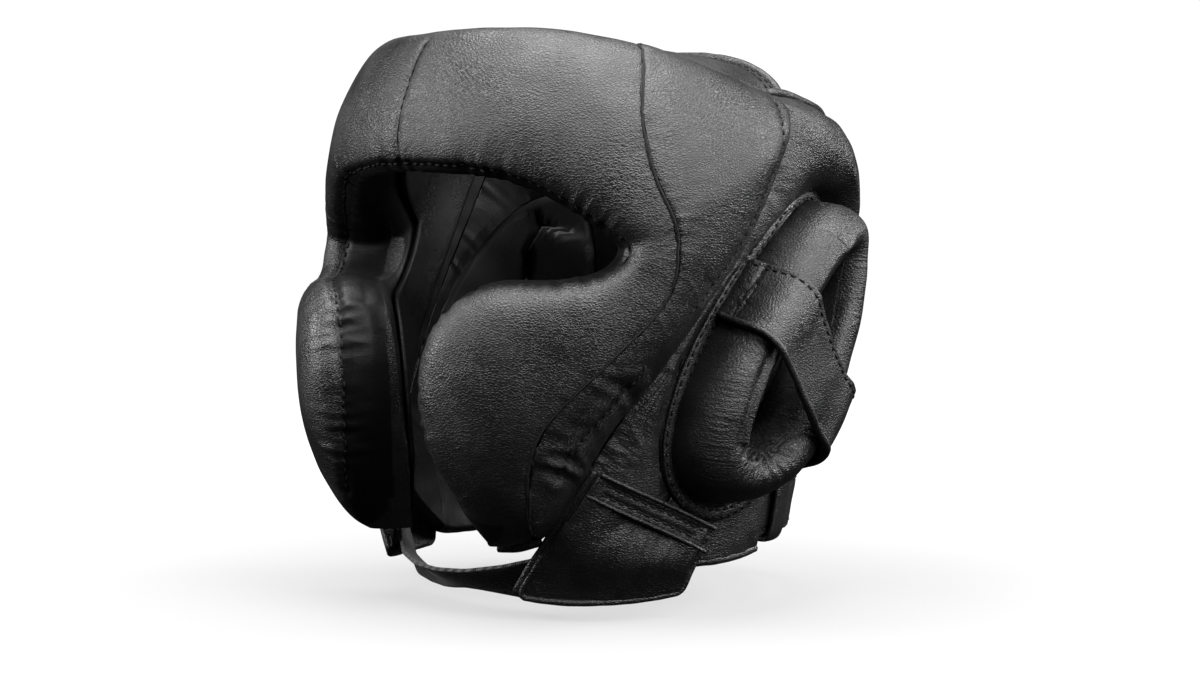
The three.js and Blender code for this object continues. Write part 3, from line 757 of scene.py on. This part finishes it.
for seed, side, mirror in ((51, "left", 1), (52, "right", -1)):
    ring = copy_of_solid(f"ear_ring_hide_{side}", f"ear_ring_{side}", levels=4, sharp=70)
    trees = [tree_of(ring)]
    hole_end, _ = dropped(ear_oval(np.linspace(225, 140, 12), grow=-TUBE_HALF * 0.5), trees, mirror)
    hole_rim, _ = dropped(ear_oval(np.linspace(0, 360, 60), grow=-INNER_RIM), trees, mirror)
    foot_seam, _ = dropped(ear_oval(np.linspace(0, 360, 60), grow=TUBE_HALF * 0.97), trees, mirror)
    fold, _ = dropped(ear_oval(np.linspace(214, 268, 12), grow=0.001), trees, mirror)
    crumple(ring, size=0.03, height=0.0012, seed=seed)
    crumple(ring, size=0.011, height=0.0004, seed=seed + 2)
    gather(ring, hole_end, reach=0.0085, height=0.0022, pitch=0.0058, seed=seed + 4)
    draw_in(ring, fold, width=0.0016, depth=-0.0017)
    draw_in(ring, fold + FOLD_VALLEY, width=0.0018, depth=0.0011)
    thinned = ring.modifiers.new("thinned", "DECIMATE")
    thinned.ratio = RING_KEPT
    bpy.ops.object.modifier_apply(modifier="thinned")
    pucker(ring, [(hole_end, 0.01, 1.4), (hole_rim, 0.009, 0.8), (foot_seam, 0.008, 0.7)])
    # The walls inside the upper hole take the darkened inner finish: painted shade in the deep recess.
    mark_smooth_shaded(ring, in_hole(points_of(ring)))
    add_piece(ring, cowhide, [f"ear_ring_{side}"])

# Lower panels: padded cowhide under the ear, from the side panel back to the nape strap.
# The lower edge is bound with a turned strip of the same hide.
PANEL_ROLL = 0.0021
PANEL_OUTER = [(0.0728, -0.0311, -0.0865), (0.0754, 0.0211, -0.086)]
PANEL_INNER = [(0.0671, -0.0293, -0.0865), (0.0695, 0.0199, -0.086)]
EDGE_ANGLE = math.radians(50)
FINE_STEP = 0.0005


def edge_through(node, places, mirror=1):
    """Points along the sharp edges of a solid, from the first place to the last by way of the others."""
    solid = bmesh.new()
    solid.from_mesh(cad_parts[node].data)
    bmesh.ops.remove_doubles(solid, verts=solid.verts, dist=MERGE)
    ways = {}
    for edge in solid.edges:
        if edge.calc_face_angle(0) > EDGE_ANGLE:
            for here, there in (edge.verts, reversed(edge.verts)):
                ways.setdefault(here, []).append((there, edge.calc_length()))
    spots = [Vector((mirror * x, y, z)) for x, y, z in places]
    stops = [min(ways, key=lambda vertex: (vertex.co - spot).length) for spot in spots]
    line = [stops[0]]
    for first, last in zip(stops[:-1], stops[1:]):
        reached = {first: (0, first)}
        waiting = [first]
        while waiting:
            here = min(waiting, key=lambda vertex: reached[vertex][0])
            waiting.remove(here)
            for there, length in ways[here]:
                far = reached[here][0] + length
                if far < reached.get(there, (math.inf, None))[0]:
                    reached[there] = (far, here)
                    waiting.append(there)
        part = [last]
        while part[-1] is not first:
            part.append(reached[part[-1]][1])
        line += part[-2::-1]
    points = np.array([vertex.co[:] for vertex in line])
    solid.free()
    return points


def roll_along(name, line, radius, seed):
    """A thin roll of hide along an edge."""
    roll = tube_along(name, even_line(line, radius * 0.9), radius, roundness=2)
    crumple(roll, size=0.006, height=radius * 0.12, seed=seed)
    add_piece(roll, cowhide)


def spread(line, count):
    """The line with a given number of points."""
    at, own = np.linspace(0, 1, count), np.linspace(0, 1, len(line))
    return np.column_stack([np.interp(at, own, line[:, k]) for k in range(3)])


def between(first, second, share, step=0.002):
    """A line between two others, at a share of the way across."""
    first, second = even_line(first, FINE_STEP), even_line(second, FINE_STEP)
    count = max(len(first), len(second))
    return even_line((1 - share) * spread(first, count) + share * spread(second, count), step)


lower_panels = {}
for seed, side, mirror in ((61, "left", 1), (62, "right", -1)):
    node = f"lower_panel_{side}"
    panel = copy_of_solid(f"lower_panel_hide_{side}", node, levels=3, crease=0.45)
    close_seam(panel, f"ear_base_{side}", reach=0.004, share=0.9)
    close_seam(panel, f"side_panel_{side}", reach=0.003, share=0.9)
    crumple(panel, size=0.018, height=0.0006, seed=seed)
    crumple(panel, size=0.007, height=0.0003, seed=seed + 2)
    mark_smooth_shaded(panel, facing_in(panel))
    add_piece(panel, cowhide, [node])
    lower_panels[side] = panel
    outer, inner = edge_through(node, PANEL_OUTER, mirror), edge_through(node, PANEL_INNER, mirror)
    roll_along(f"lower_panel_edge_{side}", between(outer, inner, share=0.3), PANEL_ROLL, seed)

# Ear flanges: a narrow strip of doubled cowhide sewn down round each ring with two rows of stitches.
# It covers the seam where the ear base meets the side and lower panels.
FLANGE_WIDTH = 0.0062
FLANGE_THICK = 0.0024
FLANGE_GROW = TUBE_HALF + 0.0031
FLANGE_RISE = 0.0014
FLANGE_START = 111
FLANGE_POINTS = 150
FLANGE_FACING = 0.6
FLANGE_TOP = 0.002


def lay_strip(name, line, normals, width, thick):
    """A flat strip of hide with rounded edges along a line, and the way across it at each point."""
    across = unit(np.cross(unit(np.gradient(line, axis=0)), normals))
    shares = np.linspace(-0.5, 0.5, 7)
    bpy.ops.object.select_all(action="DESELECT")
    bpy.ops.mesh.primitive_grid_add(x_subdivisions=len(shares) - 1, y_subdivisions=len(line) - 1)
    strip = bpy.context.object
    strip.name = name
    crown = (1 - (2 * shares) ** 2) * thick * 0.3
    points = line[:, None] + across[:, None] * (shares * width)[:, None]
    points = points + normals[:, None] * crown[:, None]
    strip.data.vertices.foreach_set("co", points.ravel())
    wall = strip.modifiers.new("wall", "SOLIDIFY")
    wall.thickness = thick
    wall.offset = -1
    bpy.ops.object.modifier_apply(modifier="wall")
    rounded = strip.modifiers.new("rounded", "SUBSURF")
    rounded.levels = 1
    rounded.render_levels = 1
    bpy.ops.object.modifier_apply(modifier="rounded")
    bpy.ops.object.shade_smooth()
    return strip, across


def soften(rows):
    """The rows round a closed line, each evened out with three neighbours on both sides."""
    kernel = np.ones(7) / 7
    return np.column_stack(
        [np.convolve(np.pad(rows[:, k], 3, mode="wrap"), kernel, "valid") for k in range(3)]
    )


for seed, side, mirror in ((65, "left", 1), (66, "right", -1)):
    trees = [tree_of(pieces[side]) for pieces in (side_panels, ear_bases, lower_panels)]
    turns = np.linspace(FLANGE_START, FLANGE_START + 360, FLANGE_POINTS)
    points, normals = dropped(ear_oval(turns, FLANGE_GROW), trees, mirror)
    normals = unit(soften(normals) + (FLANGE_FACING * mirror, 0, 0))
    points = soften(points) + normals * FLANGE_RISE
    flange, across = lay_strip(f"ear_flange_{side}", points, normals, FLANGE_WIDTH, FLANGE_THICK)
    crumple(flange, size=0.006, height=0.0003, seed=seed)
    add_piece(flange, cowhide)
    rows = [points + across * share * FLANGE_WIDTH + normals * FLANGE_TOP for share in (-0.3, 0.3)]
    for row in rows:
        draw_in(flange, row, width=0.0009, depth=0.0009)
    sew(f"flange_stitches_{side}", [(flange, row) for row in rows])

# Ear bands: a doubled strip of cowhide laid over the ring and sewn down at both ends.
# The lower edge is bound over a cord, and the upper edge and the front end are stitched.
STRAP_CREASE = 0.45
BAND_ROLL = 0.0015
BAND_LOW = [(0.0909, -0.0173, 0.0132), (0.1171, 0.0039, -0.0185), (0.0833, 0.028, -0.0534)]
BAND_HIGH = [(0.0926, 0.0007, 0.0348), (0.1161, 0.0276, 0.0055), (0.0806, 0.0451, -0.0326)]
for seed, side, mirror in ((71, "left", 1), (72, "right", -1)):
    node = f"ear_band_{side}"
    band = copy_of_solid(f"ear_band_hide_{side}", node, levels=3, crease=STRAP_CREASE)
    low_edge, high_edge = edge_through(node, BAND_LOW, mirror), edge_through(node, BAND_HIGH, mirror)
    front_row = np.array([between(low_edge, high_edge, share)[3] for share in np.linspace(0.06, 0.94, 12)])
    edge_row = between(low_edge, high_edge, share=0.92)
    crumple(band, size=0.02, height=0.0006, seed=seed)
    crumple(band, size=0.008, height=0.00025, seed=seed + 2)
    draw_in(band, edge_row, width=0.0008, depth=0.0005)
    draw_in(band, front_row, width=0.0012, depth=0.0008)
    gather(band, front_row, reach=0.008, height=0.0003, pitch=0.005, seed=seed + 4)
    add_piece(band, cowhide, [node])
    sew(f"band_stitches_{side}", [(band, edge_row), (band, front_row)])
    roll_along(f"band_edge_{side}", between(low_edge, high_edge, share=-0.01), BAND_ROLL, seed)

# Chin tabs: a flap of doubled cowhide under each cheek with a turned edge, sewn on through a raised band
# along its top. The band has a roll along both edges and two rows of stitches.
TAB_TOP_FRONT = np.array((0.0725, -0.0661, -0.049))
TAB_TOP_REAR = np.array((0.0866, -0.0189, -0.073))
TAB_LOW_FRONT = np.array((0.0386, -0.0793, -0.1))
TAB_LOW_REAR = np.array((0.079, -0.0273, -0.099))
TAB_RIGHT = 0.82
TAB_ROLL = 0.0014
TAB_BELLY = 0.005
TAB_BELLY_REACH = 0.014
TAB_FOLD = 0.008
TAB_FOLD_THICK = 0.003
ANCHOR_HIGH = [(0.0757, -0.0683, -0.049), (0.0904, -0.0196, -0.073)]
ANCHOR_LOW = [(0.0705, -0.0717, -0.0573), (0.0879, -0.0228, -0.0822)]
ANCHOR_ROLL = 0.0009
for seed, side, mirror, length in ((81, "left", 1, 1), (82, "right", -1, TAB_RIGHT)):
    node, anchor_node = f"chin_tab_{side}", f"chin_anchor_{side}"
    tab = copy_of_solid(f"chin_tab_hide_{side}", node, levels=3, crease=STRAP_CREASE)
    tab_tree = tree_of(tab)
    low_front = TAB_TOP_FRONT + (TAB_LOW_FRONT - TAB_TOP_FRONT) * length
    low_rear = TAB_TOP_REAR + (TAB_LOW_REAR - TAB_TOP_REAR) * length
    hem = edge_through(node, [TAB_TOP_FRONT, low_front, low_rear, TAB_TOP_REAR], mirror)
    front_edge = edge_through(node, [TAB_TOP_FRONT, low_front], mirror)
    rear_edge = edge_through(node, [TAB_TOP_REAR, low_rear], mirror)
    front_row = between(front_edge, rear_edge, share=0.12)
    high_edge = edge_through(anchor_node, ANCHOR_HIGH, mirror)
    low_edge = edge_through(anchor_node, ANCHOR_LOW, mirror)
    belly, belly_away, _ = near_line(points_of(tab), between(low_edge, hem, share=0.4), reach=0.03)
    lift = np.zeros(len(tab.data.vertices))
    lift[belly] = TAB_BELLY * np.exp(-((belly_away / TAB_BELLY_REACH) ** 2))
    set_points(tab, points_of(tab) + np.array((mirror * 0.75, -0.66, 0)) * lift[:, None])
    crumple(tab, size=0.024, height=0.0009, seed=seed)
    crumple(tab, size=0.008, height=0.0003, seed=seed + 2)
    gather(tab, low_edge, reach=0.012, height=0.0005, pitch=0.006, seed=seed + 4)
    draw_in(tab, front_row, width=0.001, depth=0.0006)
    add_piece(tab, cowhide, [node])
    roll_along(f"tab_edge_{side}", hem, TAB_ROLL, seed)
    fold_line = between(front_edge, rear_edge, share=0.005, step=0.003)
    beside = between(front_edge, rear_edge, share=0.06, step=0.003)
    facing = np.array([tab_tree.find_nearest(Vector(p))[1] for p in beside]).mean(0)
    facing = np.tile(facing / np.linalg.norm(facing), (len(fold_line), 1))
    fold_strip, _ = lay_strip(f"tab_fold_{side}", fold_line, facing, TAB_FOLD, TAB_FOLD_THICK)
    crumple(fold_strip, size=0.007, height=0.0003, seed=seed)
    add_piece(fold_strip, cowhide)
    anchor = copy_of_solid(f"chin_anchor_hide_{side}", anchor_node, levels=3, crease=STRAP_CREASE)
    anchor_rows = [between(high_edge, low_edge, share) for share in (0.3, 0.7)]
    crumple(anchor, size=0.01, height=0.0003, seed=seed + 2)
    for row in anchor_rows:
        draw_in(anchor, row, width=0.0009, depth=0.0006)
    add_piece(anchor, cowhide, [anchor_node])
    sew(f"tab_stitches_{side}", [(tab, front_row)] + [(anchor, row) for row in anchor_rows])
    for edge, line in (("high", high_edge), ("low", low_edge)):
        roll_along(f"anchor_roll_{edge}_{side}", line, ANCHOR_ROLL, seed)

# Chin strap: black twill webbing from tab to tab under the chin.
# Its weave runs in slanted ribs crossed by fine yarns.
RIB_PITCH = 0.0021
YARN_PITCH = 0.0009
PITCH_TO_SCALE = 0.314
WEAVE_DARK = (0.006, 0.006, 0.006, 1)
WEAVE_LIGHT = (0.03, 0.03, 0.031, 1)
STRAP_HIGH = [(0.0676, -0.0547, -0.0737), (-0.0676, -0.0547, -0.0737)]
STRAP_LOW = [(0.0624, -0.0508, -0.0986), (-0.0624, -0.0508, -0.0986)]
webbing, weave_nodes, weave_links, weave_surface = new_finish("twill_webbing")
weave_surface.inputs["Roughness"].default_value = 0.72
weave_surface.inputs["Sheen Weight"].default_value = 0.15
weave_place = weave_nodes.new("ShaderNodeAttribute")
weave_place.attribute_name = "weave_place"
ribs = weave_nodes.new("ShaderNodeTexWave")
ribs.bands_direction = "DIAGONAL"
ribs.inputs["Scale"].default_value = PITCH_TO_SCALE / RIB_PITCH
weave_links.new(weave_place.outputs["Vector"], ribs.inputs["Vector"])
yarns = weave_nodes.new("ShaderNodeTexWave")
yarns.bands_direction = "X"
yarns.inputs["Scale"].default_value = PITCH_TO_SCALE / YARN_PITCH
yarns.inputs["Distortion"].default_value = 0.6
weave_links.new(weave_place.outputs["Vector"], yarns.inputs["Vector"])
woven = weave_nodes.new("ShaderNodeMath")
woven.operation = "MULTIPLY_ADD"
woven.inputs[1].default_value = 0.35
weave_links.new(yarns.outputs["Fac"], woven.inputs[0])
weave_links.new(ribs.outputs["Fac"], woven.inputs[2])
weave_bump = weave_nodes.new("ShaderNodeBump")
weave_bump.inputs["Distance"].default_value = 0.0005
weave_links.new(woven.outputs[0], weave_bump.inputs["Height"])
weave_links.new(weave_bump.outputs["Normal"], weave_surface.inputs["Normal"])
weave_tone = weave_nodes.new("ShaderNodeMix")
weave_tone.data_type = "RGBA"
weave_tone.inputs["A"].default_value = WEAVE_DARK
weave_tone.inputs["B"].default_value = WEAVE_LIGHT
weave_links.new(woven.outputs[0], weave_tone.inputs["Factor"])
weave_links.new(weave_tone.outputs["Result"], weave_surface.inputs["Base Color"])
strap = copy_of_solid("chin_strap_webbing", "chin_strap", levels=3, crease=STRAP_CREASE)
strap_edges = edge_through("chin_strap", STRAP_HIGH), edge_through("chin_strap", STRAP_LOW)
strap_points = points_of(strap)
_, _, strap_along = near_line(strap_points, between(*strap_edges, share=0.5, step=0.001), reach=0.05)
_, strap_across, _ = near_line(strap_points, between(*strap_edges, share=0, step=0.001), reach=0.08)
mark(strap, "weave_place", np.column_stack([strap_along, strap_across, 0 * strap_along]))
add_piece(strap, webbing, ["chin_strap"])

# Crown strap: a wide strip of doubled cowhide over the top of the head, sewn inside both rims.
# Both long edges are bound and have two rows of stitches.
CROWN_ROLL = 0.0018
CROWN_FRONT = [(0.066, -0.034, 0.092), (0, -0.034, 0.1216), (-0.066, -0.034, 0.092)]
CROWN_REAR = [(0.0668, 0.046, 0.092), (0, 0.046, 0.1218), (-0.0668, 0.046, 0.092)]
crown = copy_of_solid("crown_strap_hide", "crown_strap", levels=3, crease=STRAP_CREASE)
crown_edges = edge_through("crown_strap", CROWN_FRONT), edge_through("crown_strap", CROWN_REAR)
crown_rows = [between(*crown_edges, share) for share in (0.05, 0.1, 0.9, 0.95)]
crumple(crown, size=0.03, height=0.0009, seed=91)
crumple(crown, size=0.01, height=0.0003, seed=92)
for row in crown_rows:
    draw_in(crown, row, width=0.001, depth=0.0006)
add_piece(crown, cowhide, ["crown_strap"])
sew("crown_stitches", [(crown, row) for row in crown_rows])
roll_along("crown_edge_front", between(*crown_edges, share=0.005), CROWN_ROLL, seed=93)
roll_along("crown_edge_rear", between(*crown_edges, share=0.995), CROWN_ROLL, seed=94)

# Back straps: two strips of doubled cowhide across the back, the lower one through a keeper.
# Each has a row of stitches inside both long edges.
BACK_EDGES = {
    "rear_strap": [
        [(0.0458, 0.1134, 0.058), (0, 0.1265, 0.058), (-0.0458, 0.1134, 0.058)],
        [(0.0443, 0.1111, 0.02), (0, 0.123, 0.02), (-0.0443, 0.1111, 0.02)],
    ],
    "nape_strap": [
        [(0.0777, 0.0224, -0.058), (0, 0.093, -0.058), (-0.0777, 0.0224, -0.058)],
        [(0.0744, 0.0215, -0.082), (0, 0.0884, -0.082), (-0.0744, 0.0215, -0.082)],
    ],
}
for seed, node in ((95, "rear_strap"), (96, "nape_strap")):
    back_strap = copy_of_solid(f"{node}_hide", node, levels=3, crease=STRAP_CREASE)
    edges = [edge_through(node, places) for places in BACK_EDGES[node]]
    rows = [between(*edges, share) for share in (0.12, 0.88)]
    crumple(back_strap, size=0.025, height=0.0006, seed=seed)
    crumple(back_strap, size=0.009, height=0.00025, seed=seed + 2)
    for row in rows:
        draw_in(back_strap, row, width=0.001, depth=0.0006)
    add_piece(back_strap, cowhide, [node])
    sew(f"{node}_stitches", [(back_strap, row) for row in rows])
keeper = copy_of_solid("nape_keeper_hide", "nape_keeper", levels=3, crease=0.2)
crumple(keeper, size=0.012, height=0.0003, seed=99)
add_piece(keeper, cowhide, ["nape_keeper"])

# Rolled edges: cowhide turned over a cord, along the top rear rims and under the cheeks.
# The roll under the cheek is drawn up against the pad by its stitches.
HEM_RISE = (0, 0, 0.0024)
for seed, side in ((101, "left"), (102, "right")):
    for node in (f"rear_binding_{side}", f"cheek_binding_{side}"):
        roll = copy_of_solid(f"{node}_hide", node, levels=2, crease=0, sharp=80)
        crumple(roll, size=0.008, height=0.0002, seed=seed)
        if node.startswith("cheek"):
            set_points(roll, points_of(roll) + HEM_RISE)
        add_piece(roll, cowhide, [node])
